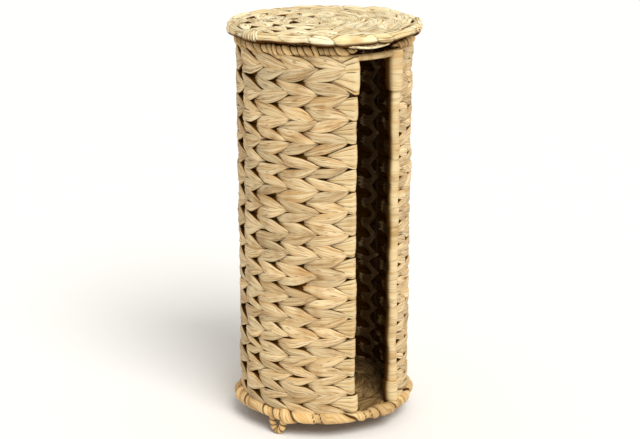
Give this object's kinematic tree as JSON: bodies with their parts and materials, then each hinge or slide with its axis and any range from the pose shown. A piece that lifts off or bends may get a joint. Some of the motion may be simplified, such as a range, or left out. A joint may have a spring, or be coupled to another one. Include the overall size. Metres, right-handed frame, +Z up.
{
  "type": "toilet roll storage basket",
  "caption": "Tall round twined basket on a wire frame that stores toilet rolls, with a slit up the front, loop feet and a lift-off lid.",
  "frame": {"origin": "on the axis of the basket, at the plane that the feet stand on", "axes": "+Z up along the axis of the basket, -Y through the middle of the slit, +X to the right of the slit seen from the front"},
  "size_m": [0.1896, 0.1896, 0.3965],
  "materials": {
    "strand": "matte",
    "lid_strand": "matte",
    "cane": "satin",
    "frame_wire": "satin"
  },
  "bodies": {
    "basket": {"wall_row_01": "strand", "wall_row_02": "strand", "wall_row_03": "strand", "wall_row_04": "strand", "wall_row_05": "strand", "wall_row_06": "strand", "wall_row_07": "strand", "wall_row_08": "strand", "wall_row_09": "strand", "wall_row_10": "strand", "wall_row_11": "strand", "wall_row_12": "strand", "wall_row_13": "strand", "wall_row_14": "strand", "wall_row_15": "strand", "wall_row_16": "strand", "wall_row_17": "strand", "wall_row_18": "strand", "wall_row_19": "strand", "wall_row_20": "strand", "wall_row_21": "strand", "wall_row_22": "strand", "wall_row_23": "strand", "wall_row_24": "strand", "wall_row_25": "strand", "wall_row_26": "strand", "wall_row_27": "strand", "wall_row_28": "strand", "wall_row_29": "strand", "wall_row_30": "strand", "wall_row_31": "strand", "wall_row_32": "strand", "wall_row_33": "strand", "left_edge_binding": "strand", "right_edge_binding": "strand", "top_hoop": "cane", "top_border": "strand", "base_roll": "strand", "base_weave": "strand", "base_knot": "strand", "left_foot": "strand", "right_foot": "strand", "rear_foot": "strand", "wall_stakes": "frame_wire", "left_edge_stake": "frame_wire", "right_edge_stake": "frame_wire", "base_hoop": "frame_wire", "base_spokes": "frame_wire"},
    "lid": {"lid_ring_01": "lid_strand", "lid_ring_02": "lid_strand", "lid_ring_03": "lid_strand", "lid_ring_04": "lid_strand", "lid_ring_05": "lid_strand", "lid_ring_06": "lid_strand", "lid_ring_07": "lid_strand", "lid_knot": "lid_strand", "lid_roll": "lid_strand", "lid_locating_hoop": "lid_strand", "lid_hoop": "frame_wire", "lid_spokes": "frame_wire"}
  },
  "joints": [
    {"name": "lid_lift", "type": "slide", "parent": "basket", "child": "lid", "axis": [0, 0, 1], "range_m": [0, 0.15]}
  ]
}
